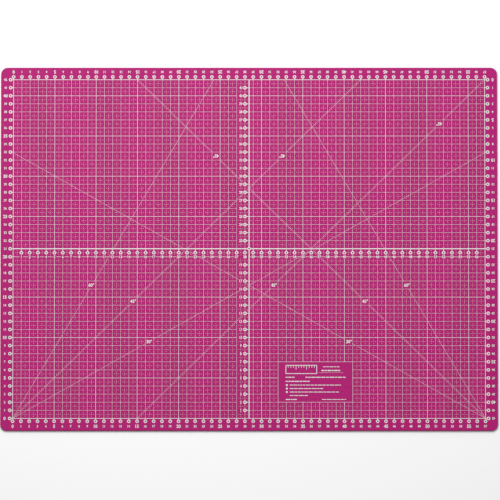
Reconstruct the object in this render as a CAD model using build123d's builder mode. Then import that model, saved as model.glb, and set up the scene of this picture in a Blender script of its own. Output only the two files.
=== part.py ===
from build123d import *

from math import sqrt
import os

# Self-healing cutting mat, 600 x 450 mm, ruled in centimetres.
#
# The mat is a five-ply laminate: a soft healing ply on each face, a firm core ply that stops the blade,
# and a bonding film on each side of the core. The scale on the upper face is white ink, printed in a
# thin raised layer. Millimetres, +Z up, +X along the long side. The origin is the centre of the face
# that lies on the table.

# Sheet
mat_length = 600.0
mat_width = 450.0
corner_radius = 8.0
healing_thickness = 0.9
film_thickness = 0.1
core_thickness = 1.0
edge_round = 0.35

# Ruled field, centred on the sheet: as many whole squares as its margins leave room for
pitch = 10.0
margin = 15.0
emphasis = 5
columns = int((mat_length - 2 * margin) // pitch)
rows = int((mat_width - 2 * margin) // pitch)

# Ink
ink_thickness = 0.03
border_width = 0.65
middle_line_width = 1.1
emphasis_line_width = 0.45
panel_line_width = 0.35

# Ring markers, each hanging by a stem from the border or from a heavy line
ring_diameter = 4.2
ring_hole_diameter = 2.0
stem_width = 0.6
corner_ring_gap = 0.8

# The fifth lines leave the middle row's and column's rings and numerals this much room
ring_air = 0.1
ring_clearance = ring_diameter + 2 * ring_air
numeral_clearance = 4.4
middle_column_squares = 1.5

# Label panel, in whole squares: how far it stands right of the middle column's line, and its own size
panel_from_middle = 4
panel_columns = 9
panel_from_bottom = 2
panel_rows = 5

# Heights
lower_film_base = healing_thickness
core_base = lower_film_base + film_thickness
upper_film_base = core_base + core_thickness
top_ply_base = upper_film_base + film_thickness
ink_base = top_ply_base + healing_thickness

# Places in the plane
field_length = columns * pitch
field_width = rows * pitch
column_x = [-field_length / 2 + column * pitch for column in range(columns + 1)]
row_y = [-field_width / 2 + row * pitch for row in range(rows + 1)]
middle_x = (column_x[columns // 2] + column_x[columns // 2 + 1]) / 2
middle_y = row_y[rows // 2]
inner_columns = column_x[1:-1]
inner_rows = [y for y in row_y[1:-1] if abs(y - middle_y) > middle_line_width]
ringed_rows = [y for y in inner_rows if y != middle_y - pitch]
heavy_columns = column_x[emphasis:-1:emphasis]
heavy_rows = row_y[emphasis:-1:emphasis]
ring_offset = (ring_diameter + corner_ring_gap) / sqrt(2)
border_stem_length = ring_offset - border_width / 2
middle_stem_length = (pitch - middle_line_width) / 2
middle_column_reach = middle_column_squares * pitch
panel_length = panel_columns * pitch
panel_width = panel_rows * pitch
panel_x = column_x[columns // 2 + panel_from_middle] + panel_length / 2
panel_y = row_y[panel_from_bottom] + panel_width / 2

os.makedirs("parts", exist_ok=True)

# Lower healing ply, its lower edge rounded over
with BuildPart() as bottom_healing_ply:
    with BuildSketch(Plane.XY):
        RectangleRounded(mat_length, mat_width, corner_radius)
    extrude(amount=healing_thickness)
    fillet(bottom_healing_ply.faces().sort_by(Axis.Z)[0].edges(), edge_round)
bottom_healing_ply.part.label = "bottom_healing_ply"
export_step(bottom_healing_ply.part, "parts/bottom_healing_ply.step")

# Bonding film under the core
with BuildPart() as lower_bonding_film:
    with BuildSketch(Plane.XY.offset(lower_film_base)):
        RectangleRounded(mat_length, mat_width, corner_radius)
    extrude(amount=film_thickness)
lower_bonding_film.part.label = "lower_bonding_film"
export_step(lower_bonding_film.part, "parts/lower_bonding_film.step")

# Firm core
with BuildPart() as core_ply:
    with BuildSketch(Plane.XY.offset(core_base)):
        RectangleRounded(mat_length, mat_width, corner_radius)
    extrude(amount=core_thickness)
core_ply.part.label = "core_ply"
export_step(core_ply.part, "parts/core_ply.step")

# Bonding film over the core
with BuildPart() as upper_bonding_film:
    with BuildSketch(Plane.XY.offset(upper_film_base)):
        RectangleRounded(mat_length, mat_width, corner_radius)
    extrude(amount=film_thickness)
upper_bonding_film.part.label = "upper_bonding_film"
export_step(upper_bonding_film.part, "parts/upper_bonding_film.step")

# Upper healing ply, its upper edge rounded over
with BuildPart() as top_healing_ply:
    with BuildSketch(Plane.XY.offset(top_ply_base)):
        RectangleRounded(mat_length, mat_width, corner_radius)
    extrude(amount=healing_thickness)
    fillet(top_healing_ply.faces().sort_by(Axis.Z)[-1].edges(), edge_round)
top_healing_ply.part.label = "top_healing_ply"
export_step(top_healing_ply.part, "parts/top_healing_ply.step")

# Border line round the ruled field, its centreline on the field's edge
with BuildPart() as border_line:
    with BuildSketch(Plane.XY.offset(ink_base)):
        Rectangle(field_length + border_width, field_width + border_width)
        Rectangle(field_length - border_width, field_width - border_width, mode=Mode.SUBTRACT)
    extrude(amount=ink_thickness)
border_line.part.label = "border_line"
export_step(border_line.part, "parts/border_line.step")

# The two heavy lines that quarter the field, end to end inside the border, with a ring where they cross
with BuildPart() as quartering_lines:
    with BuildSketch(Plane.XY.offset(ink_base)):
        with Locations((middle_x, middle_y)):
            Rectangle(field_length - border_width, middle_line_width)
        with Locations((middle_x, 0)):
            Rectangle(middle_line_width, field_width - border_width)
        with Locations((middle_x, middle_y)):
            Circle(ring_diameter / 2)
            Circle(ring_hole_diameter / 2, mode=Mode.SUBTRACT)
    extrude(amount=ink_thickness)
quartering_lines.part.label = "quartering_lines"
export_step(quartering_lines.part, "parts/quartering_lines.step")

# Every fifth line both ways, cut clear of the heavy lines, the panel, and the inner rings and numerals
with BuildPart() as five_centimetre_lines:
    with BuildSketch(Plane.XY.offset(ink_base)):
        with Locations(*[(x, 0) for x in heavy_columns]):
            Rectangle(emphasis_line_width, field_width - border_width)
        with Locations(*[(0, y) for y in heavy_rows]):
            Rectangle(field_length - border_width, emphasis_line_width)
        with Locations((middle_x, middle_y)):
            Rectangle(field_length, middle_line_width, mode=Mode.SUBTRACT)
        with Locations((middle_x, 0)):
            Rectangle(middle_line_width, field_width, mode=Mode.SUBTRACT)
        with Locations((panel_x, panel_y)):
            Rectangle(
                panel_length + panel_line_width, panel_width + panel_line_width, mode=Mode.SUBTRACT
            )
        with Locations(*[(x, middle_y - pitch / 2) for x in inner_columns]):
            Rectangle(ring_clearance, pitch, mode=Mode.SUBTRACT)
        with Locations(*[(x, middle_y - pitch) for x in inner_columns]):
            Rectangle(numeral_clearance, numeral_clearance, mode=Mode.SUBTRACT)
        with Locations(*[(middle_x - middle_column_reach / 2, y) for y in inner_rows]):
            Rectangle(middle_column_reach, ring_clearance, mode=Mode.SUBTRACT)
    extrude(amount=ink_thickness)
five_centimetre_lines.part.label = "five_centimetre_lines"
export_step(five_centimetre_lines.part, "parts/five_centimetre_lines.step")

# Frame of the label panel
with BuildPart() as panel_frame:
    with BuildSketch(Plane.XY.offset(ink_base)):
        with Locations((panel_x, panel_y)):
            Rectangle(panel_length + panel_line_width, panel_width + panel_line_width)
            Rectangle(
                panel_length - panel_line_width, panel_width - panel_line_width, mode=Mode.SUBTRACT
            )
    extrude(amount=ink_thickness)
panel_frame.part.label = "panel_frame"
export_step(panel_frame.part, "parts/panel_frame.step")

# Ring markers: outside the border at every centimetre, under the middle row and beside the middle column
ring_rows = {
    "bottom_scale_rings": ([(x, row_y[0] - ring_offset) for x in column_x], (0, 1)),
    "top_scale_rings": ([(x, row_y[-1] + ring_offset) for x in column_x], (0, -1)),
    "left_scale_rings": ([(column_x[0] - ring_offset, y) for y in row_y], (1, 0)),
    "right_scale_rings": ([(column_x[-1] + ring_offset, y) for y in row_y], (-1, 0)),
    "middle_row_rings": ([(x, middle_y - pitch / 2) for x in inner_columns], (0, 1)),
    "middle_column_rings": ([(middle_x - pitch / 2, y) for y in ringed_rows], (1, 0)),
}
for row_name, (places, (way_x, way_y)) in ring_rows.items():
    hangs_inside = row_name.startswith("middle")
    stem_length = middle_stem_length if hangs_inside else border_stem_length
    stem_size = (stem_length, stem_width) if way_x else (stem_width, stem_length)
    stem_places = [(x + way_x * stem_length / 2, y + way_y * stem_length / 2) for x, y in places]
    with BuildPart() as rings:
        with BuildSketch(Plane.XY.offset(ink_base)):
            with Locations(*places):
                Circle(ring_diameter / 2)
            with Locations(*stem_places):
                Rectangle(*stem_size)
            with Locations(*places):
                Circle(ring_hole_diameter / 2, mode=Mode.SUBTRACT)
        extrude(amount=ink_thickness)
    rings.part.label = row_name
    export_step(rings.part, f"parts/{row_name}.step")
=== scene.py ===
import random
from math import atan2, cos, pi, radians, sin, tan

import bmesh
import bpy
from bpy.props import FloatProperty, FloatVectorProperty, IntProperty, PointerProperty
from bpy.types import Operator, Panel, PropertyGroup
from mathutils import Matrix, Vector


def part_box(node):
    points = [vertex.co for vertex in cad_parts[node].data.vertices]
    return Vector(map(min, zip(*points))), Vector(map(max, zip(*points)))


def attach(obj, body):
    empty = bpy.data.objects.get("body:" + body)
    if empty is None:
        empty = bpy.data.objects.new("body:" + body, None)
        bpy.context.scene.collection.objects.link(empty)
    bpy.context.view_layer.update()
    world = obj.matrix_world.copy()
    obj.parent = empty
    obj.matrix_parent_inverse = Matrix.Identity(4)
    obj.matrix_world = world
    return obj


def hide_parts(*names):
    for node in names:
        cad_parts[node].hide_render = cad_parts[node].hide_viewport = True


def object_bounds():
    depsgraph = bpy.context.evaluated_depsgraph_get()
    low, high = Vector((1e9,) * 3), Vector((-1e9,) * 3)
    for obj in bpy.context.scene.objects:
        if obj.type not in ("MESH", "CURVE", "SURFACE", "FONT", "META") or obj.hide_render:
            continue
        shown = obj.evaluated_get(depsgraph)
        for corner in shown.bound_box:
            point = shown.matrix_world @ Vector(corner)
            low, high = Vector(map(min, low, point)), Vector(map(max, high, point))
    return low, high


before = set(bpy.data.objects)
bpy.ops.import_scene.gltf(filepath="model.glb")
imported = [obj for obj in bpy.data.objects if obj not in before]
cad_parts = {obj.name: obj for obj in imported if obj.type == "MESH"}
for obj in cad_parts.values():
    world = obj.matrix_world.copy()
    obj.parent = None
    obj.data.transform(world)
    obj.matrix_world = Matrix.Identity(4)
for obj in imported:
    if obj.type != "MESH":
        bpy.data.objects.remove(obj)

bl_info = {
    "name": "Self-Healing Mat",
    "version": (1, 0, 0),
    "blender": (4, 5, 0),
    "location": "View3D > Sidebar > Cutting Mat",
    "description": "A laminated cutting mat with a printed centimetre scale",
    "category": "Object",
}

CAD_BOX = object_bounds()
SHEET_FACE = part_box("top_healing_ply")[1][2]
SHEET_CENTRE = Vector((0.0, 0.0, SHEET_FACE))
BORDER_LOW, BORDER_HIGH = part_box("border_line")
PANEL_LOW, PANEL_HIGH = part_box("panel_frame")
RINGS_LOW, RINGS_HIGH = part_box("bottom_scale_rings")
INK_TOP = BORDER_HIGH[2]
MICRON = 0.000001
RING_FACETS = 16
SMOOTH_ANGLE = radians(35)

# Every fifth line and numeral is emphasised
EMPHASIS = 5

# Layers of print that cross end this far below the border's top, so that no two share a face
LETTER_DROP = 1 * MICRON
ANGLE_DROP = 2 * MICRON
ROW_DROP = 4 * MICRON
COLUMN_DROP = 6 * MICRON
DASHED_ROW_DROP = 9 * MICRON
DASHED_COLUMN_DROP = 11 * MICRON

# In squares: the room that inner rings and numerals keep from finer print. A ring's room starts at the heavy
# line. A numeral's room is centred one square from it.
RING_ROOM_DEPTH = 0.75
RING_ROOM_HALF = 0.24
NUMERAL_ROOM_HALF_HEIGHT = 0.17
ROW_NUMERAL_ROOM_HALF = 0.2
COLUMN_NUMERAL_ROOM_HALF = 0.22
MIDDLE_ROW_DEPTH = 1.22
MIDDLE_COLUMN_DEPTH = 1.5
LABEL_ROOM_HALF = 0.46


# ---------------------------------------------------------------- sizes and colours


class MatSheetSettings(PropertyGroup):
    """The laminated sheet"""

    corner_radius: FloatProperty(
        name="Corner Radius", description="Radius of the sheet's four corners", default=0.008, unit="LENGTH"
    )
    corner_segments: IntProperty(
        name="Corner Segments", description="Facets round each corner", default=14, min=3, max=48
    )
    edge_round: FloatProperty(
        name="Edge Rounding", description="Radius along the outer edge of each face", default=0.00035,
        unit="LENGTH", precision=5
    )
    film_inset: FloatProperty(
        name="Film Inset", description="How far the bonding films lie inside the cut edge", default=0.00006,
        unit="LENGTH", precision=5
    )


class MatPrintSettings(PropertyGroup):
    """The printed scale"""

    pitch: FloatProperty(
        name="Square", description="Side of one ruled square", default=0.01, unit="LENGTH"
    )
    heavy_width: FloatProperty(
        name="Heavy Line Width", description="Width of the two lines that quarter the field", default=0.0011,
        unit="LENGTH", precision=5
    )
    fine_width: FloatProperty(
        name="Centimetre Line Width", description="Width of the centimetre lines", default=0.00026,
        unit="LENGTH", precision=5
    )
    angle_width: FloatProperty(
        name="Angle Line Width", description="Width of the 30, 45 and 60 degree lines", default=0.0002,
        unit="LENGTH", precision=5
    )
    dash_width: FloatProperty(
        name="Dash Width", description="Width of a half-centimetre dash", default=0.0002, unit="LENGTH",
        precision=5
    )
    dash_length: FloatProperty(
        name="Dash Length", description="Length of a half-centimetre dash", default=0.0013, unit="LENGTH",
        precision=5
    )
    dash_spacing: FloatProperty(
        name="Dash Spacing", description="From one dash to the next inside a square", default=0.0023,
        unit="LENGTH", precision=5
    )
    ring_hole: FloatProperty(
        name="Ring Hole", description="Diameter of the hole in a ring marker", default=0.002, unit="LENGTH",
        precision=5
    )
    numeral_offset: FloatProperty(
        name="Numeral Offset", description="From the border to the middle of the edge numerals",
        default=0.0097, unit="LENGTH"
    )
    large_numeral: FloatProperty(
        name="Large Numeral", description="Height of the edge numerals at every fifth line", default=0.0041,
        unit="LENGTH", precision=5
    )
    small_numeral: FloatProperty(
        name="Small Numeral", description="Height of the other edge numerals", default=0.0029, unit="LENGTH",
        precision=5
    )
    middle_numeral: FloatProperty(
        name="Middle Numeral", description="Height of the middle row's and column's numerals", default=0.0033,
        unit="LENGTH", precision=5
    )
    label_height: FloatProperty(
        name="Angle Label", description="Height of the degree labels", default=0.0043, unit="LENGTH",
        precision=5
    )


class MatColourSettings(PropertyGroup):
    """Vinyl, ink and floor colours"""

    vinyl: FloatVectorProperty(
        name="Vinyl", description="Colour of the healing plies", subtype="COLOR", size=3, min=0, max=1,
        default=(0.424, 0.0055, 0.158)
    )
    # The film's own colour at the cut edge, set darker as painted shade on the upright side.
    film: FloatVectorProperty(
        name="Film", description="Colour of the bonding films at the cut edge", subtype="COLOR", size=3,
        min=0, max=1, default=(0.10, 0.003, 0.035)
    )
    # The core's own colour at the cut edge, set darker as painted shade on the upright side.
    core: FloatVectorProperty(
        name="Core", description="Colour of the core ply at the cut edge", subtype="COLOR", size=3, min=0,
        max=1, default=(0.16, 0.004, 0.055)
    )
    ink: FloatVectorProperty(
        name="Ink", description="Colour of the printed ink", subtype="COLOR", size=3, min=0, max=1,
        default=(0.70, 0.79, 0.74)
    )
    floor: FloatVectorProperty(
        name="Floor", description="Colour of the studio floor", subtype="COLOR", size=3, min=0, max=1,
        default=(0.93, 0.93, 0.93)
    )


class MatStudioSettings(PropertyGroup):
    """Camera and lights"""

    camera_tilt: FloatProperty(
        name="Camera Tilt", description="How far the camera leans back from straight down", subtype="ANGLE",
        default=radians(13.1)
    )
    camera_distance: FloatProperty(
        name="Camera Distance", description="From the mat to the camera", default=22.0, unit="LENGTH"
    )
    view_width: FloatProperty(
        name="View Width", description="What the camera sees from side to side at the mat", default=0.6039,
        unit="LENGTH"
    )
    aim_right: FloatProperty(
        name="Aim Right", description="How far right of the mat's middle the camera aims", default=0.0011,
        unit="LENGTH", precision=5
    )
    aim_low: FloatProperty(
        name="Aim Low", description="How far nearer than the mat's middle the camera aims", default=0.0016,
        unit="LENGTH", precision=5
    )
    sky_strength: FloatProperty(
        name="Surround", description="Brightness of the plain surround", default=0.44, min=0
    )
    key_power: FloatProperty(
        name="Key Power", description="Power of the soft light over the far edge, in watts", default=19.0,
        min=0
    )


# ---------------------------------------------------------------- places on the printed field


class Field:
    """Where the ruled squares lie: columns count from the left of the border and rows from its lower edge."""

    def __init__(self, ink):
        length, width = BORDER_HIGH[0] - BORDER_LOW[0], BORDER_HIGH[1] - BORDER_LOW[1]
        self.pitch = ink.pitch
        self.columns = round(length / ink.pitch)
        self.rows = round(width / ink.pitch)
        self.border_width = length - self.columns * ink.pitch
        self.left = BORDER_LOW[0] + self.border_width / 2
        self.bottom = BORDER_LOW[1] + self.border_width / 2
        self.ring_radius = (RINGS_HIGH[0] - RINGS_LOW[0] - self.columns * ink.pitch) / 2
        self.middle_column = self.columns // 2 + 0.5
        self.middle_row = self.rows // 2
        self.panel_column = round((PANEL_LOW[0] - self.left) / ink.pitch)
        self.panel_row = round((PANEL_LOW[1] - self.bottom) / ink.pitch)

    def at(self, column, row):
        return Vector((self.left + column * self.pitch, self.bottom + row * self.pitch))

    def in_panel(self, across, up):
        """A place so many squares across and up from the panel's lower left corner."""
        return self.at(self.panel_column + across, self.panel_row + up)

    def box(self, low_column, low_row, high_column, high_row):
        """A clear box, in whole or part squares."""
        return (*self.at(low_column, low_row), *self.at(high_column, high_row))

    def marked_rows(self):
        """The rows that have a ring and a numeral in the middle column."""
        return [row for row in range(1, self.rows) if row not in (self.middle_row - 1, self.middle_row)]

    def marked_columns(self):
        """The columns that have a ring and a numeral in the middle row."""
        return range(1, self.columns)


# Degree labels: text, the column and row of its middle, and whether it reads from the far side
ANGLE_LABELS = [
    ("60°", 9.45, 16.5, False),
    ("60°", 47.55, 16.5, False),
    ("45°", 14.5, 14.5, False),
    ("45°", 42.5, 14.5, False),
    ("45°", 31.5, 16.5, False),
    ("30°", 16.45, 9.5, False),
    ("30°", 40.55, 9.5, False),
    ("45°", 24.5, 32.5, True),
    ("45°", 32.5, 32.5, True),
    ("45°", 51.5, 36.5, True),
]


def label_boxes(field):
    """The squares that the degree labels have to themselves, up to their centimetre lines."""
    half = LABEL_ROOM_HALF
    middles = [(int(column) + 0.5, row) for text, column, row, turned in ANGLE_LABELS]
    return [field.box(column - half, row - half, column + half, row + half) for column, row in middles]


def panel_box():
    """The label panel, which nothing else is printed over."""
    return (PANEL_LOW[0], PANEL_LOW[1], PANEL_HIGH[0], PANEL_HIGH[1])


def middle_boxes(field):
    """The room that the inner rings and numerals have from the dashes and the angle lines."""
    row, column = field.middle_row, field.middle_column
    ring, height = RING_ROOM_HALF, NUMERAL_ROOM_HALF_HEIGHT
    boxes = []
    for x in field.marked_columns():
        half = ROW_NUMERAL_ROOM_HALF
        boxes.append(field.box(x - ring, row - RING_ROOM_DEPTH, x + ring, row))
        boxes.append(field.box(x - half, row - 1 - height, x + half, row - 1 + height))
    for y in field.marked_rows():
        half = COLUMN_NUMERAL_ROOM_HALF
        boxes.append(field.box(column - RING_ROOM_DEPTH, y - ring, column, y + ring))
        boxes.append(field.box(column - 1 - half, y - height, column - 1 + half, y + height))
    return boxes


def clear_runs(start, end, boxes):
    """The stretches of a straight line that stay out of every clear box, as pairs of points."""
    along = end - start
    blocked = []
    for low_x, low_y, high_x, high_y in boxes:
        enter, leave = 0.0, 1.0
        for origin, step, low, high in ((start.x, along.x, low_x, high_x), (start.y, along.y, low_y, high_y)):
            if abs(step) > MICRON:
                near, far = sorted(((low - origin) / step, (high - origin) / step))
                enter, leave = max(enter, near), min(leave, far)
            elif not low < origin < high:
                enter, leave = 1.0, 0.0
        if enter < leave:
            blocked.append((enter, leave))
    shortest_run = 0.0003
    runs = []
    reached = 0.0
    for enter, leave in sorted(blocked) + [(1.0, 1.0)]:
        if (enter - reached) * along.length > shortest_run:
            runs.append((start + along * reached, start + along * enter))
        reached = max(reached, leave)
    return runs


# ---------------------------------------------------------------- modelling helpers


def deselect_all():
    bpy.ops.object.select_all(action="DESELECT")


def begin_edit(select_type):
    """Opens the active piece in edit mode with nothing selected."""
    bpy.ops.object.mode_set(mode="EDIT")
    bpy.ops.mesh.select_mode(type=select_type)
    bpy.ops.mesh.select_all(action="DESELECT")


def end_edit():
    bpy.ops.object.mode_set(mode="OBJECT")


def select_edges(piece, wanted):
    """In edit mode, selects the edges whose two ends wanted() accepts."""
    mesh = bmesh.from_edit_mesh(piece.data)
    for edge in mesh.edges:
        edge.select_set(wanted(edge.verts[0].co, edge.verts[1].co))
    bmesh.update_edit_mesh(piece.data)


def select_faces(piece, wanted):
    """In edit mode, selects the faces whose middle and normal wanted() accepts."""
    mesh = bmesh.from_edit_mesh(piece.data)
    for face in mesh.faces:
        face.select_set(wanted(face.calc_center_median(), face.normal))
    bmesh.update_edit_mesh(piece.data)


def settle(piece):
    """Moves the piece's place, turn and scale into its mesh."""
    deselect_all()
    piece.select_set(True)
    bpy.context.view_layer.objects.active = piece
    bpy.ops.object.transform_apply(location=True, rotation=True, scale=True)


def apply_modifier(piece, kind, **values):
    """Adds one modifier with these values and applies it."""
    modifier = piece.modifiers.new(kind.title(), kind)
    for name, value in values.items():
        setattr(modifier, name, value)
    bpy.context.view_layer.objects.active = piece
    bpy.ops.object.modifier_apply(modifier=modifier.name)


def repeat(piece, count, step):
    """Lays count copies of the piece a step apart, as one mesh."""
    apply_modifier(
        piece, "ARRAY", count=count, use_relative_offset=False, use_constant_offset=True,
        constant_offset_displace=step
    )


def copy_of(piece):
    """A copy with a mesh of its own."""
    twin = piece.copy()
    twin.data = piece.data.copy()
    bpy.context.collection.objects.link(twin)
    return twin


def join(pieces, name):
    """Joins the pieces into one with this name."""
    deselect_all()
    for piece in pieces:
        piece.select_set(True)
    bpy.context.view_layer.objects.active = pieces[0]
    if len(pieces) > 1:
        bpy.ops.object.join()
    joined = bpy.context.view_layer.objects.active
    joined.name = name
    joined.data.name = name
    return joined


def discard(pieces):
    deselect_all()
    for piece in pieces:
        piece.select_set(True)
    bpy.ops.object.delete()


def raise_ink(piece, drop=0.0):
    """Gives flat print its ink thickness, standing on the sheet's face."""
    piece.data.transform(Matrix.Translation((0, 0, SHEET_FACE)))
    deselect_all()
    piece.select_set(True)
    apply_modifier(piece, "SOLIDIFY", thickness=INK_TOP - SHEET_FACE - drop, offset=1.0)


def finish_piece(piece, material, slot, *nodes):
    """Gives a piece its material and its place in the frame."""
    piece.data.materials.clear()
    piece.data.materials.append(material)
    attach(piece, "root")
    if nodes:
        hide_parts(*nodes)


def strips(name, runs, width):
    """A flat piece with one strip of this width along each run."""
    deselect_all()
    bpy.ops.mesh.primitive_plane_add(size=1)
    pattern = bpy.context.object
    laid = []
    for start, end in runs:
        along = end - start
        strip = copy_of(pattern)
        place = Matrix.Translation(((start + end) / 2).to_3d())
        turn = Matrix.Rotation(atan2(along.y, along.x), 4, "Z")
        strip.data.transform(place @ turn @ Matrix.Diagonal((along.length, width, 1, 1)))
        laid.append(strip)
    discard([pattern])
    return join(laid, name)


def flat_ring(name, centre, turn, radius, hole, reach):
    """A flat ring marker; before it is turned, its stem runs up the page to this reach from its centre."""
    facets = RING_FACETS
    flat = radius * cos(pi / facets)
    deselect_all()
    bpy.ops.mesh.primitive_circle_add(
        vertices=facets, radius=radius, fill_type="NGON", rotation=(0, 0, pi / facets)
    )
    ring = bpy.context.object
    ring.name = name
    settle(ring)
    begin_edit("FACE")
    bpy.ops.mesh.select_all(action="SELECT")
    bpy.ops.mesh.inset(thickness=flat - hole / 2, use_even_offset=True)
    bpy.ops.mesh.delete(type="FACE")
    if reach > flat:
        narrowing = 0.7
        near_top = flat * 0.99
        bpy.ops.mesh.select_mode(type="EDGE")
        select_edges(ring, lambda a, b: (a.y + b.y) / 2 > near_top and abs(a.x + b.x) < MICRON)
        bpy.ops.mesh.extrude_region_move(TRANSFORM_OT_translate={"value": (0, reach - flat, 0)})
        bpy.ops.transform.resize(value=(narrowing, 1, 1))
    end_edit()
    ring.data.transform(Matrix.Translation(centre.to_3d()) @ Matrix.Rotation(turn, 4, "Z"))
    return ring


def flat_text(body):
    """A flat mesh of the text, one unit high, its middle at the origin."""
    deselect_all()
    bpy.ops.object.text_add()
    text = bpy.context.object
    text.data.body = body
    text.data.size = 1.0
    text.data.offset = 0.03
    text.data.resolution_u = 3
    bpy.ops.object.convert(target="MESH")
    text = bpy.context.object
    bpy.ops.object.shade_flat()
    begin_edit("VERT")
    bpy.ops.mesh.select_all(action="SELECT")
    bpy.ops.mesh.remove_doubles(threshold=0.0005)
    end_edit()
    xs = [vertex.co.x for vertex in text.data.vertices]
    ys = [vertex.co.y for vertex in text.data.vertices]
    height = max(ys) - min(ys)
    middle = Vector(((max(xs) + min(xs)) / 2, (max(ys) + min(ys)) / 2, 0))
    text.data.transform(Matrix.Scale(1 / height, 4) @ Matrix.Translation(-middle))
    return text


def numerals(name, marks):
    """A flat piece of text set at its marks: text, middle, height, and whether it reads from the far side."""
    patterns = {text: flat_text(text) for text in sorted({mark[0] for mark in marks})}
    narrowing = 0.94
    set_marks = []
    for text, middle, height, turned in marks:
        mark = copy_of(patterns[text])
        turn = Matrix.Rotation(pi if turned else 0.0, 4, "Z")
        size = Matrix.Diagonal((height * narrowing, height, 1, 1))
        mark.data.transform(Matrix.Translation(middle.to_3d()) @ turn @ size)
        set_marks.append(mark)
    discard(list(patterns.values()))
    return join(set_marks, name)


# ---------------------------------------------------------------- shader node groups


def new_group(name, inputs, outputs):
    """A shader node group with these named float, colour or vector sockets."""
    group = bpy.data.node_groups.new(name, "ShaderNodeTree")
    for socket_name, kind, default in inputs:
        socket = group.interface.new_socket(socket_name, in_out="INPUT", socket_type=f"NodeSocket{kind}")
        socket.default_value = default
    for socket_name, kind in outputs:
        group.interface.new_socket(socket_name, in_out="OUTPUT", socket_type=f"NodeSocket{kind}")
    return group, group.nodes.new("NodeGroupInput"), group.nodes.new("NodeGroupOutput")


def math_node(tree, operation, first, second):
    """One math node; each operand is a socket or a number."""
    node = tree.nodes.new("ShaderNodeMath")
    node.operation = operation
    for index, operand in enumerate((first, second)):
        if isinstance(operand, (int, float)):
            node.inputs[index].default_value = operand
        else:
            tree.links.new(operand, node.inputs[index])
    return node.outputs[0]


def vinyl_grain_group():
    """The pebbled texture pressed into calendered vinyl, which the print follows."""
    group, entry, result = new_group(
        "vinyl_grain", [("Pebbles per Metre", "Float", 1500.0), ("Fineness", "Float", 0.35)],
        [("Height", "Float"), ("Valley", "Float")]
    )
    place = group.nodes.new("ShaderNodeTexCoord")
    pebbles = group.nodes.new("ShaderNodeTexVoronoi")
    pebbles.feature = "SMOOTH_F1"
    pebbles.inputs["Smoothness"].default_value = 0.35
    group.links.new(place.outputs["Object"], pebbles.inputs["Vector"])
    group.links.new(entry.outputs["Pebbles per Metre"], pebbles.inputs["Scale"])
    fine = group.nodes.new("ShaderNodeTexNoise")
    fine.inputs["Detail"].default_value = 3.0
    group.links.new(place.outputs["Object"], fine.inputs["Vector"])
    finer = math_node(group, "MULTIPLY", entry.outputs["Pebbles per Metre"], 2.6)
    group.links.new(finer, fine.inputs["Scale"])
    dome = math_node(group, "SUBTRACT", 1.0, pebbles.outputs["Distance"])
    detail = math_node(group, "MULTIPLY", fine.outputs["Fac"], entry.outputs["Fineness"])
    height = math_node(group, "ADD", dome, detail)
    valley = group.nodes.new("ShaderNodeMapRange")
    valley.inputs["From Min"].default_value = 0.75
    valley.inputs["From Max"].default_value = 0.42
    group.links.new(height, valley.inputs["Value"])
    group.links.new(height, result.inputs["Height"])
    group.links.new(valley.outputs["Result"], result.inputs["Valley"])
    return group


def tone_drift_group():
    """Slow, faint change of tone over a surface."""
    inputs = [
        ("Color", "Color", (0.5, 0.5, 0.5, 1.0)),
        ("Patches per Metre", "Float", 9.0),
        ("Amount", "Float", 0.05),
    ]
    group, entry, result = new_group("tone_drift", inputs, [("Color", "Color")])
    place = group.nodes.new("ShaderNodeTexCoord")
    patches = group.nodes.new("ShaderNodeTexNoise")
    patches.inputs["Detail"].default_value = 4.0
    patches.inputs["Roughness"].default_value = 0.6
    group.links.new(place.outputs["Object"], patches.inputs["Vector"])
    group.links.new(entry.outputs["Patches per Metre"], patches.inputs["Scale"])
    swing = math_node(group, "MULTIPLY", math_node(group, "SUBTRACT", patches.outputs["Fac"], 0.5), 2.0)
    gain = math_node(group, "ADD", 1.0, math_node(group, "MULTIPLY", swing, entry.outputs["Amount"]))
    shade = group.nodes.new("ShaderNodeVectorMath")
    shade.operation = "SCALE"
    group.links.new(entry.outputs["Color"], shade.inputs[0])
    group.links.new(gain, shade.inputs["Scale"])
    group.links.new(shade.outputs["Vector"], result.inputs["Color"])
    return group


def place_group(tree, name, **values):
    """Puts one of the groups above in a material, with its own values."""
    makers = {"vinyl_grain": vinyl_grain_group, "tone_drift": tone_drift_group}
    node = tree.nodes.new("ShaderNodeGroup")
    node.node_tree = bpy.data.node_groups.get(name) or makers[name]()
    for socket_name, value in values.items():
        node.inputs[socket_name.replace("_", " ")].default_value = value
    return node


def new_material(name):
    """An empty node material and its Principled shader."""
    material = bpy.data.materials.new(name)
    material.use_nodes = True
    return material, material.node_tree, material.node_tree.nodes["Principled BSDF"]


def mix_colours(tree, factor, first, second):
    """Mixes two colours, each a socket or a colour, by a factor socket."""
    mix = tree.nodes.new("ShaderNodeMix")
    mix.data_type = "RGBA"
    tree.links.new(factor, mix.inputs["Factor"])
    for socket, colour in ((mix.inputs[6], first), (mix.inputs[7], second)):
        if isinstance(colour, bpy.types.NodeSocket):
            tree.links.new(colour, socket)
        else:
            socket.default_value = colour
    return mix.outputs[2]


def bump(tree, shader, height, distance, strength):
    """Feeds a height in the range of about 0 to 1 to the shader's normal."""
    node = tree.nodes.new("ShaderNodeBump")
    node.inputs["Distance"].default_value = distance
    node.inputs["Strength"].default_value = strength
    tree.links.new(height, node.inputs["Height"])
    tree.links.new(node.outputs["Normal"], shader.inputs["Normal"])


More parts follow.
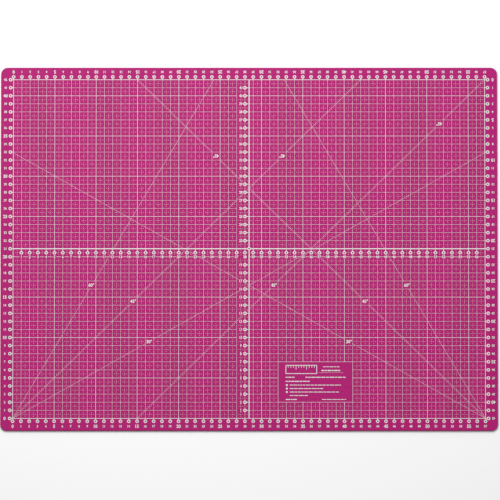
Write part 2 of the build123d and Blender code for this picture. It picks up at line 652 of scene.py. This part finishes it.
def pebbled_vinyl():
    """Soft matt vinyl with a pebbled face, and painted shade darkening the valleys of the pebbles."""
    colour = bpy.context.scene.mat_colours.vinyl
    material, tree, shader = new_material("pebbled_vinyl")
    drift = place_group(
        tree, "tone_drift", Color=(*colour, 1.0), Patches_per_Metre=7.0, Amount=0.06
    )
    grain = place_group(tree, "vinyl_grain", Pebbles_per_Metre=1500.0, Fineness=0.35)
    # Painted shade: the valleys of the pebbles are mixed towards 62 per cent of the vinyl colour, on top of
    # the bump.
    valley_shade_colour = tuple(channel * 0.62 for channel in colour)
    valley = math_node(tree, "MULTIPLY", grain.outputs["Valley"], 0.75)
    surface = mix_colours(tree, valley, drift.outputs["Color"], (*valley_shade_colour, 1.0))
    tree.links.new(surface, shader.inputs["Base Color"])
    tree.links.new(
        math_node(tree, "ADD", 0.46, math_node(tree, "MULTIPLY", grain.outputs["Valley"], 0.2)),
        shader.inputs["Roughness"]
    )
    shader.inputs["Specular IOR Level"].default_value = 0.12
    bump(tree, shader, grain.outputs["Height"], 0.00012, 0.55)
    return material


def cut_side(ply, material):
    """Gives the upright sides of a ply the die-cut finish, as the piece's second material; its darker colour
    there is painted shade.
    """
    ply.data.materials.append(material)
    for face in ply.data.polygons:
        if abs(face.normal.z) < 0.5:
            face.material_index = 1


def cut_edge(name, colour):
    """A die-cut ply edge: fine upright drag marks and a slow change of tone."""
    material, tree, shader = new_material(name)
    drift = place_group(tree, "tone_drift", Color=(*colour, 1.0), Patches_per_Metre=60.0, Amount=0.12)
    place = tree.nodes.new("ShaderNodeTexCoord")
    stretch = tree.nodes.new("ShaderNodeMapping")
    stretch.inputs["Scale"].default_value = (3200.0, 3200.0, 260.0)
    drag = tree.nodes.new("ShaderNodeTexNoise")
    drag.inputs["Scale"].default_value = 1.0
    drag.inputs["Detail"].default_value = 3.0
    tree.links.new(place.outputs["Object"], stretch.inputs["Vector"])
    tree.links.new(stretch.outputs["Vector"], drag.inputs["Vector"])
    dark = tuple(channel * 0.55 for channel in colour)
    surface = mix_colours(tree, drag.outputs["Fac"], drift.outputs["Color"], (*dark, 1.0))
    tree.links.new(surface, shader.inputs["Base Color"])
    shader.inputs["Roughness"].default_value = 0.6
    shader.inputs["Specular IOR Level"].default_value = 0.25
    bump(tree, shader, drag.outputs["Fac"], 0.00006, 0.5)
    return material


def screen_ink():
    """White screen ink that follows the pebbles and thins out in their valleys."""
    colours = bpy.context.scene.mat_colours
    material, tree, shader = new_material("screen_ink")
    drift = place_group(
        tree, "tone_drift", Color=(*colours.ink, 1.0), Patches_per_Metre=40.0, Amount=0.05
    )
    grain = place_group(tree, "vinyl_grain", Pebbles_per_Metre=1500.0, Fineness=0.35)
    thin = math_node(tree, "MULTIPLY", grain.outputs["Valley"], 0.5)
    show_through = tuple((ink + 2 * vinyl) / 3 for ink, vinyl in zip(colours.ink, colours.vinyl))
    surface = mix_colours(tree, thin, drift.outputs["Color"], (*show_through, 1.0))
    tree.links.new(surface, shader.inputs["Base Color"])
    shader.inputs["Roughness"].default_value = 0.55
    shader.inputs["Specular IOR Level"].default_value = 0.3
    bump(tree, shader, grain.outputs["Height"], 0.0001, 0.45)
    return material


def material_for(name):
    """The named material, made the first time it is asked for."""
    colours = bpy.context.scene.mat_colours
    makers = {
        "pebbled_vinyl": pebbled_vinyl,
        "screen_ink": screen_ink,
        # The healing plies' upright sides take the vinyl colour at half strength: painted shade on the cut
        # edge, under its real drag marks.
        "shaded_cut_vinyl": lambda: cut_edge("shaded_cut_vinyl", tuple(channel / 2 for channel in colours.vinyl)),
        # The core and film edges take their own colours, which are set darker as painted shade on the upright
        # sides.
        "cut_core": lambda: cut_edge("cut_core", tuple(colours.core)),
        "cut_film": lambda: cut_edge("cut_film", tuple(colours.film)),
    }
    return bpy.data.materials.get(name) or makers[name]()


# ---------------------------------------------------------------- the laminated sheet


def ply_sheet(name, low, high, corner_radius, segments):
    """One ply: a block with its four upright corners rounded."""
    deselect_all()
    low, high = Vector(low), Vector(high)
    bpy.ops.mesh.primitive_cube_add(size=1, location=(low + high) / 2)
    ply = bpy.context.object
    ply.name = name
    ply.data.name = name
    ply.scale = high - low
    settle(ply)
    begin_edit("EDGE")
    select_edges(ply, lambda a, b: abs(a.z - b.z) > MICRON)
    bpy.ops.mesh.bevel(offset=corner_radius, offset_type="OFFSET", segments=segments, affect="EDGES")
    end_edit()
    return ply


def soften_rim(ply, level, radius):
    """Rounds the rim at this height over, and keeps the face inside it flat."""
    rim_segments = 4
    flat_margin = 0.0012
    begin_edit("EDGE")
    select_edges(ply, lambda a, b: abs(a.z - level) < MICRON and abs(b.z - level) < MICRON)
    bpy.ops.mesh.bevel(offset=radius, offset_type="OFFSET", segments=rim_segments, affect="EDGES")
    bpy.ops.mesh.select_mode(type="FACE")
    select_faces(ply, lambda middle, normal: abs(middle.z - level) < MICRON)
    bpy.ops.mesh.inset(thickness=flat_margin, use_even_offset=True)
    end_edit()
    deselect_all()
    ply.select_set(True)
    bpy.ops.object.shade_smooth_by_angle(angle=SMOOTH_ANGLE)


class CUTTING_MAT_OT_healing_plies(Operator):
    """Make the two soft vinyl plies, with their outer edges softened"""

    bl_idname = "cutting_mat.healing_plies"
    bl_label = "Healing Plies"

    def execute(self, context):
        sheet = context.scene.mat_sheet
        for node, rim_corner in (("top_healing_ply", 1), ("bottom_healing_ply", 0)):
            low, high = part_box(node)
            ply = ply_sheet("soft_" + node, low, high, sheet.corner_radius, sheet.corner_segments)
            soften_rim(ply, (low, high)[rim_corner][2], sheet.edge_round)
            finish_piece(ply, material_for("pebbled_vinyl"), "healing_vinyl", node)
            # The upright sides get the half-strength vinyl colour as painted shade.
            cut_side(ply, material_for("shaded_cut_vinyl"))
        return {"FINISHED"}


class CUTTING_MAT_OT_core_and_films(Operator):
    """Make the firm core and the two bonding films, which lie a hair inside the cut edge"""

    bl_idname = "cutting_mat.core_and_films"
    bl_label = "Core and Films"

    def execute(self, context):
        sheet = context.scene.mat_sheet
        plies = [
            ("core_ply", "core_board", "cut_core", 0.0),
            ("lower_bonding_film", "bonding_film", "cut_film", sheet.film_inset),
            ("upper_bonding_film", "bonding_film", "cut_film", sheet.film_inset),
        ]
        for node, slot, finish, inset in plies:
            low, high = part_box(node)
            low = (low[0] + inset, low[1] + inset, low[2])
            high = (high[0] - inset, high[1] - inset, high[2])
            ply = ply_sheet("cut_" + node, low, high, sheet.corner_radius - inset, sheet.corner_segments)
            deselect_all()
            ply.select_set(True)
            bpy.ops.object.shade_smooth_by_angle(angle=SMOOTH_ANGLE)
            finish_piece(ply, material_for(finish), slot, node)
        return {"FINISHED"}


# ---------------------------------------------------------------- ruled lines


class CUTTING_MAT_OT_frame_print(Operator):
    """Ink the border, the five centimetre lines and the panel's frame, whose shapes come with the frame"""

    bl_idname = "cutting_mat.frame_print"
    bl_label = "Border and Five Centimetre Lines"

    def execute(self, context):
        for node in ("border_line", "five_centimetre_lines", "panel_frame"):
            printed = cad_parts[node]
            printed.data.materials.clear()
            printed.data.materials.append(material_for("screen_ink"))
        return {"FINISHED"}


class CUTTING_MAT_OT_heavy_lines(Operator):
    """Make the two heavy lines that quarter the field, and the ring where they cross"""

    bl_idname = "cutting_mat.heavy_lines"
    bl_label = "Heavy Lines"

    def execute(self, context):
        ink = context.scene.mat_print
        field = Field(ink)
        crossing = field.at(field.middle_column, field.middle_row)
        ring_overlap = 0.97
        reach = field.ring_radius / field.pitch * ring_overlap
        gap = field.box(
            field.middle_column - reach, field.middle_row - reach,
            field.middle_column + reach, field.middle_row + reach
        )
        inset = field.border_width / 2 / field.pitch
        lines = [
            (field.at(field.middle_column, inset), field.at(field.middle_column, field.rows - inset)),
            (field.at(inset, field.middle_row), field.at(field.columns - inset, field.middle_row)),
        ]
        runs = [run for start, end in lines for run in clear_runs(start, end, [gap])]
        arms = strips("heavy_line_arms", runs, ink.heavy_width)
        ring = flat_ring("crossing_ring", crossing, 0.0, field.ring_radius, ink.ring_hole, 0.0)
        piece = join([arms, ring], "heavy_lines")
        raise_ink(piece)
        finish_piece(piece, material_for("screen_ink"), "printed_ink", "quartering_lines")
        return {"FINISHED"}


class CUTTING_MAT_OT_centimetre_lines(Operator):
    """Make the fine lines of every centimetre that isn't a fifth, clear of the panel and the inner scales"""

    bl_idname = "cutting_mat.centimetre_lines"
    bl_label = "Centimetre Lines"

    def execute(self, context):
        ink = context.scene.mat_print
        field = Field(ink)
        heavy_row, heavy_column = field.middle_row, field.middle_column
        row_gap = field.box(0, heavy_row - MIDDLE_ROW_DEPTH, field.columns, heavy_row)
        upright = []
        for column in range(1, field.columns):
            if column % EMPHASIS:
                start, end = field.at(column, 0), field.at(column, field.rows)
                upright += clear_runs(start, end, [panel_box(), row_gap])
        column_gap = field.box(heavy_column - MIDDLE_COLUMN_DEPTH, 0, heavy_column, field.rows)
        level = []
        for row in range(1, field.rows):
            if row % EMPHASIS and row != heavy_row:
                start, end = field.at(0, row), field.at(field.columns, row)
                level += clear_runs(start, end, [panel_box(), column_gap])
        for name, runs, drop in (
            ("centimetre_columns", upright, COLUMN_DROP), ("centimetre_rows", level, ROW_DROP)
        ):
            piece = strips(name, runs, ink.fine_width)
            raise_ink(piece, drop)
            finish_piece(piece, material_for("screen_ink"), "printed_ink")
        return {"FINISHED"}


class CUTTING_MAT_OT_half_centimetre_dashes(Operator):
    """Make the dashed half-centimetre lines, three dashes to a square each way"""

    bl_idname = "cutting_mat.half_centimetre_dashes"
    bl_label = "Half Centimetre Dashes"

    def execute(self, context):
        ink = context.scene.mat_print
        field = Field(ink)
        heavy = ink.heavy_width / 2 / field.pitch
        boxes = label_boxes(field) + middle_boxes(field) + [panel_box()]
        boxes.append(field.box(field.middle_column - heavy, 0, field.middle_column + heavy, field.rows))
        middle = field.at(0.5, 0.5)
        for name, along_x, drop in (
            ("dashed_rows", True, DASHED_ROW_DROP), ("dashed_columns", False, DASHED_COLUMN_DROP)
        ):
            step = (ink.dash_spacing, 0, 0) if along_x else (0, ink.dash_spacing, 0)
            size = (ink.dash_length, ink.dash_width) if along_x else (ink.dash_width, ink.dash_length)
            deselect_all()
            bpy.ops.mesh.primitive_plane_add(size=1)
            dash = bpy.context.object
            dash.name = name
            dash.data.name = name
            start = middle.to_3d() - Vector(step)
            dash.data.transform(Matrix.Translation(start) @ Matrix.Diagonal((*size, 1, 1)))
            repeat(dash, 3, step)
            repeat(dash, field.columns, (field.pitch, 0, 0))
            repeat(dash, field.rows, (0, field.pitch, 0))
            begin_edit("FACE")
            select_faces(
                dash, lambda at, normal: any(x0 < at.x < x1 and y0 < at.y < y1 for x0, y0, x1, y1 in boxes)
            )
            bpy.ops.mesh.delete(type="FACE")
            end_edit()
            raise_ink(dash, drop)
            finish_piece(dash, material_for("screen_ink"), "printed_ink")
        return {"FINISHED"}


def angle_line_ends(field):
    """The angle guide lines, each from its corner to the border it meets."""
    right, top = field.columns, field.rows
    ends = []
    for degrees in (30, 45, 60):
        rise = tan(radians(degrees))
        reach = min(right, top / rise)
        ends.append((field.at(0, 0), field.at(reach, reach * rise)))
        ends.append((field.at(right, 0), field.at(right - reach, reach * rise)))
    ends.append((field.at(right, top), field.at(right - top, 0)))
    return ends


class CUTTING_MAT_OT_angle_lines(Operator):
    """Make the 30, 45 and 60 degree guide lines, broken at their labels"""

    bl_idname = "cutting_mat.angle_lines"
    bl_label = "Angle Lines"

    def execute(self, context):
        ink = context.scene.mat_print
        field = Field(ink)
        boxes = label_boxes(field) + middle_boxes(field)
        runs = [run for start, end in angle_line_ends(field) for run in clear_runs(start, end, boxes)]
        piece = strips("angle_lines", runs, ink.angle_width)
        raise_ink(piece, ANGLE_DROP)
        finish_piece(piece, material_for("screen_ink"), "printed_ink")
        return {"FINISHED"}


# ---------------------------------------------------------------- scales


class CUTTING_MAT_OT_ring_markers(Operator):
    """Make the ring markers round the border, under the middle row and beside the middle column"""

    bl_idname = "cutting_mat.ring_markers"
    bl_label = "Ring Markers"

    def execute(self, context):
        ink = context.scene.mat_print
        field = Field(ink)
        pitch = field.pitch
        outside = field.bottom - RINGS_LOW[1] - field.ring_radius
        outer_reach = outside - field.border_width / 2
        inner_reach = (pitch - ink.heavy_width) / 2
        out = outside / pitch
        up, down, right, left = 0.0, pi, -pi / 2, pi / 2
        row_above = field.middle_row + 1
        rows = {
            "bottom_scale_rings": [(0, -out, up, outer_reach, field.columns + 1)],
            "top_scale_rings": [(0, field.rows + out, down, outer_reach, field.columns + 1)],
            "left_scale_rings": [(-out, 0, right, outer_reach, field.rows + 1)],
            "right_scale_rings": [(field.columns + out, 0, left, outer_reach, field.rows + 1)],
            "middle_row_rings": [(1, field.middle_row - 0.5, up, inner_reach, field.columns - 1)],
            "middle_column_rings": [
                (field.middle_column - 0.5, 1, right, inner_reach, field.middle_row - 2),
                (field.middle_column - 0.5, row_above, right, inner_reach, field.rows - row_above),
            ],
        }
        for node, stretches in rows.items():
            made = []
            for column, row, turn, reach, count in stretches:
                centre = field.at(column, row)
                ring = flat_ring(node + "_ring", centre, turn, field.ring_radius, ink.ring_hole, reach)
                repeat(ring, count, (pitch, 0, 0) if turn in (up, down) else (0, pitch, 0))
                made.append(ring)
            piece = join(made, "printed_" + node)
            raise_ink(piece)
            finish_piece(piece, material_for("screen_ink"), "printed_ink", node)
        return {"FINISHED"}


class CUTTING_MAT_OT_edge_numerals(Operator):
    """Make the numerals outside the border; the far and right rows read from the far side"""

    bl_idname = "cutting_mat.edge_numerals"
    bl_label = "Edge Numerals"

    def execute(self, context):
        ink = context.scene.mat_print
        field = Field(ink)
        out = ink.numeral_offset / field.pitch

        def height(number):
            return ink.small_numeral if number % EMPHASIS else ink.large_numeral

        across = range(field.columns + 1)
        upward = range(field.rows + 1)
        scales = {
            "bottom_numerals": [(n, field.at(n, -out), False) for n in across],
            "top_numerals": [(n, field.at(n, field.rows + out), True) for n in across],
            "left_numerals": [(n, field.at(-out, n), False) for n in upward],
            "right_numerals": [(n, field.at(field.columns + out, field.rows - n), True) for n in upward],
        }
        for name, marks in scales.items():
            piece = numerals(name, [(str(n), middle, height(n), turned) for n, middle, turned in marks])
            raise_ink(piece, LETTER_DROP)
            finish_piece(piece, material_for("screen_ink"), "printed_ink")
        return {"FINISHED"}


class CUTTING_MAT_OT_middle_numerals(Operator):
    """Make the numerals of the middle row and the middle column"""

    bl_idname = "cutting_mat.middle_numerals"
    bl_label = "Middle Numerals"

    def execute(self, context):
        ink = context.scene.mat_print
        field = Field(ink)
        row, column = field.middle_row - 1, field.middle_column - 1
        scales = {
            "middle_row_numerals": [(n, field.at(n, row)) for n in field.marked_columns()],
            "middle_column_numerals": [(n, field.at(column, n)) for n in field.marked_rows()],
        }
        for name, marks in scales.items():
            piece = numerals(name, [(str(n), middle, ink.middle_numeral, False) for n, middle in marks])
            raise_ink(piece, LETTER_DROP)
            finish_piece(piece, material_for("screen_ink"), "printed_ink")
        return {"FINISHED"}


class CUTTING_MAT_OT_angle_labels(Operator):
    """Make the degree labels on the angle lines"""

    bl_idname = "cutting_mat.angle_labels"
    bl_label = "Angle Labels"

    def execute(self, context):
        ink = context.scene.mat_print
        field = Field(ink)
        marks = [
            (text, field.at(column, row), ink.label_height, turned)
            for text, column, row, turned in ANGLE_LABELS
        ]
        piece = numerals("angle_labels", marks)
        raise_ink(piece, LETTER_DROP)
        finish_piece(piece, material_for("screen_ink"), "printed_ink")
        return {"FINISHED"}


# ---------------------------------------------------------------- label panel


# Each line of words: its ends and its row, in squares from the panel's lower left corner, and its height
PANEL_LINES = [
    (5.42, 7.4, 4.38, 0.0008), (5.22, 7.5, 3.92, 0.0014), (0.9, 1.98, 3.08, 0.0011),
    (3.29, 8.13, 3.08, 0.0011), (0.9, 3.79, 2.58, 0.0012), (1.41, 7.58, 2.12, 0.0009),
    (1.41, 5.42, 1.69, 0.0009), (1.41, 7.33, 1.26, 0.0009), (1.41, 3.58, 0.83, 0.0009),
    (0.93, 2.25, 0.34, 0.0011), (5.3, 8.19, 0.34, 0.0008),
]
UNDERLINE = (4.92, 7.85, 3.66)
BULLET_ROWS = (2.12, 1.69, 1.26)
BULLET_COLUMN = 1.05
BULLET_RADIUS = 0.0012


def word_ends(low, high, rng):
    """The ends of the word-length bars that a line of the panel is broken into, in squares."""
    shortest, longest, space = 0.22, 0.62, 0.07
    ends = []
    start = low
    while start < high:
        end = min(start + rng.uniform(shortest, longest), high)
        ends.append((start, end))
        start = end + space
    return ends


class CUTTING_MAT_OT_panel_marks(Operator):
    """Make the label panel's plain marks: a ruler figure, word-length bars and three bullets"""

    bl_idname = "cutting_mat.panel_marks"
    bl_label = "Panel Marks"

    def execute(self, context):
        ink = context.scene.mat_print
        field = Field(ink)
        rng = random.Random(7)
        parts = []
        for low, high, row, height in PANEL_LINES:
            words = word_ends(low, high, rng)
            runs = [(field.in_panel(start, row), field.in_panel(end, row)) for start, end in words]
            parts.append(strips("panel_words", runs, height))
        low, high, row = UNDERLINE
        underline = [(field.in_panel(low, row), field.in_panel(high, row))]
        parts.append(strips("panel_underline", underline, ink.angle_width))
        for row in BULLET_ROWS:
            parts.append(self.bullet(field.in_panel(BULLET_COLUMN, row)))
        parts.append(self.ruler_figure(field.in_panel(0.9, 3.5), field.in_panel(4.7, 4.6)))
        piece = join(parts, "panel_marks")
        raise_ink(piece, LETTER_DROP)
        finish_piece(piece, material_for("screen_ink"), "printed_ink")
        return {"FINISHED"}

    def bullet(self, middle):
        deselect_all()
        bpy.ops.mesh.primitive_circle_add(
            vertices=16, radius=BULLET_RADIUS, fill_type="NGON", location=middle.to_3d()
        )
        bullet = bpy.context.object
        settle(bullet)
        return bullet

    def ruler_figure(self, low, high):
        """A plain ruler: a rectangular outline with graduations along its upper edge."""
        outline_width, graduation_width = 0.0008, 0.0006
        long_graduation, short_graduation = 0.0048, 0.0026
        divisions, long_every = 12, 4
        deselect_all()
        bpy.ops.mesh.primitive_plane_add(size=1, location=((low + high) / 2).to_3d())
        outline = bpy.context.object
        outline.scale = (high.x - low.x, high.y - low.y, 1)
        settle(outline)
        begin_edit("FACE")
        bpy.ops.mesh.select_all(action="SELECT")
        bpy.ops.mesh.inset(thickness=outline_width)
        bpy.ops.mesh.delete(type="FACE")
        end_edit()
        top = high.y - outline_width
        runs = []
        for index in range(1, divisions):
            x = low.x + (high.x - low.x) * index / divisions
            length = short_graduation if index % long_every else long_graduation
            runs.append((Vector((x, top)), Vector((x, top - length))))
        return join([outline, strips("ruler_graduations", runs, graduation_width)], "ruler_figure")


# ---------------------------------------------------------------- studio


class CUTTING_MAT_OT_studio(Operator):
    """Set up the pale floor, the soft lights and the camera"""

    bl_idname = "cutting_mat.studio"
    bl_label = "Studio"

    def execute(self, context):
        scene = context.scene
        studio = scene.mat_studio
        self.floor(scene)
        self.lights(scene, studio)
        self.camera(scene, studio)
        scene.view_settings.view_transform = "Standard"
        scene.view_settings.look = "None"
        return {"FINISHED"}

    def floor(self, scene):
        floor_size = 14
        floor_level = CAD_BOX[0][2] - 20 * MICRON
        deselect_all()
        bpy.ops.mesh.primitive_plane_add(size=floor_size, location=(0, 0, floor_level))
        floor = bpy.context.object
        floor.name = "studio_floor"
        settle(floor)
        material, tree, shader = new_material("studio_floor")
        drift = place_group(
            tree, "tone_drift", Color=(*scene.mat_colours.floor, 1.0), Patches_per_Metre=1.5, Amount=0.01
        )
        tree.links.new(drift.outputs["Color"], shader.inputs["Base Color"])
        shader.inputs["Roughness"].default_value = 0.9
        shader.inputs["Specular IOR Level"].default_value = 0.1
        floor.data.materials.append(material)

    def lights(self, scene, studio):
        key_place = Vector((-0.15, 0.6, 1.35))
        key_aim = SHEET_CENTRE + Vector((-0.02, 0.08, 0.0))
        world = bpy.data.worlds.new("studio_surround")
        world.use_nodes = True
        surround = world.node_tree.nodes["Background"]
        surround.inputs["Color"].default_value = (1.0, 1.0, 1.0, 1.0)
        surround.inputs["Strength"].default_value = studio.sky_strength
        scene.world = world
        deselect_all()
        bpy.ops.object.light_add(type="AREA", location=key_place)
        key = bpy.context.object
        key.name = "soft_key"
        key.data.shape = "DISK"
        key.data.size = 1.1
        key.data.energy = studio.key_power
        key.rotation_euler = (key_aim - key.location).to_track_quat("-Z", "Y").to_euler()

    def camera(self, scene, studio):
        tilt = studio.camera_tilt
        away = Vector((0.0, -sin(tilt), cos(tilt))) * studio.camera_distance
        aim = SHEET_CENTRE + Vector((studio.aim_right, -studio.aim_low, 0.0))
        deselect_all()
        bpy.ops.object.camera_add(location=aim + away, rotation=(tilt, 0.0, 0.0))
        camera = bpy.context.object
        camera.name = "product_camera"
        camera.data.sensor_width = 36.0
        camera.data.lens = camera.data.sensor_width * studio.camera_distance / studio.view_width
        camera.data.clip_end = 3 * studio.camera_distance
        scene.camera = camera


# ---------------------------------------------------------------- sidebar and registration


OPERATORS = (
    CUTTING_MAT_OT_healing_plies,
    CUTTING_MAT_OT_core_and_films,
    CUTTING_MAT_OT_frame_print,
    CUTTING_MAT_OT_heavy_lines,
    CUTTING_MAT_OT_centimetre_lines,
    CUTTING_MAT_OT_half_centimetre_dashes,
    CUTTING_MAT_OT_angle_lines,
    CUTTING_MAT_OT_ring_markers,
    CUTTING_MAT_OT_edge_numerals,
    CUTTING_MAT_OT_middle_numerals,
    CUTTING_MAT_OT_angle_labels,
    CUTTING_MAT_OT_panel_marks,
    CUTTING_MAT_OT_studio,
)


class CUTTING_MAT_PT_sidebar(Panel):
    """Steps that make the mat, and the sizes and colours they use"""

    bl_idname = "CUTTING_MAT_PT_sidebar"
    bl_label = "Cutting Mat"
    bl_space_type = "VIEW_3D"
    bl_region_type = "UI"
    bl_category = "Cutting Mat"

    def draw(self, context):
        steps = self.layout.column(align=True)
        for step in OPERATORS:
            steps.operator(step.bl_idname)
        for name in SETTINGS:
            settings = getattr(context.scene, name)
            values = self.layout.box().column()
            for value in settings.bl_rna.properties:
                if value.identifier not in ("rna_type", "name"):
                    values.prop(settings, value.identifier)


SETTINGS = {
    "mat_sheet": MatSheetSettings,
    "mat_print": MatPrintSettings,
    "mat_colours": MatColourSettings,
    "mat_studio": MatStudioSettings,
}


def register():
    for kind in (*SETTINGS.values(), *OPERATORS, CUTTING_MAT_PT_sidebar):
        bpy.utils.register_class(kind)
    for name, kind in SETTINGS.items():
        setattr(bpy.types.Scene, name, PointerProperty(type=kind))


def unregister():
    for name in SETTINGS:
        delattr(bpy.types.Scene, name)
    for kind in reversed((*SETTINGS.values(), *OPERATORS, CUTTING_MAT_PT_sidebar)):
        bpy.utils.unregister_class(kind)


def main():
    register()
    bpy.ops.cutting_mat.healing_plies()
    bpy.ops.cutting_mat.core_and_films()
    bpy.ops.cutting_mat.frame_print()
    bpy.ops.cutting_mat.heavy_lines()
    bpy.ops.cutting_mat.centimetre_lines()
    bpy.ops.cutting_mat.half_centimetre_dashes()
    bpy.ops.cutting_mat.angle_lines()
    bpy.ops.cutting_mat.ring_markers()
    bpy.ops.cutting_mat.edge_numerals()
    bpy.ops.cutting_mat.middle_numerals()
    bpy.ops.cutting_mat.angle_labels()
    bpy.ops.cutting_mat.panel_marks()
    bpy.ops.cutting_mat.studio()


if __name__ == "__main__":
    main()
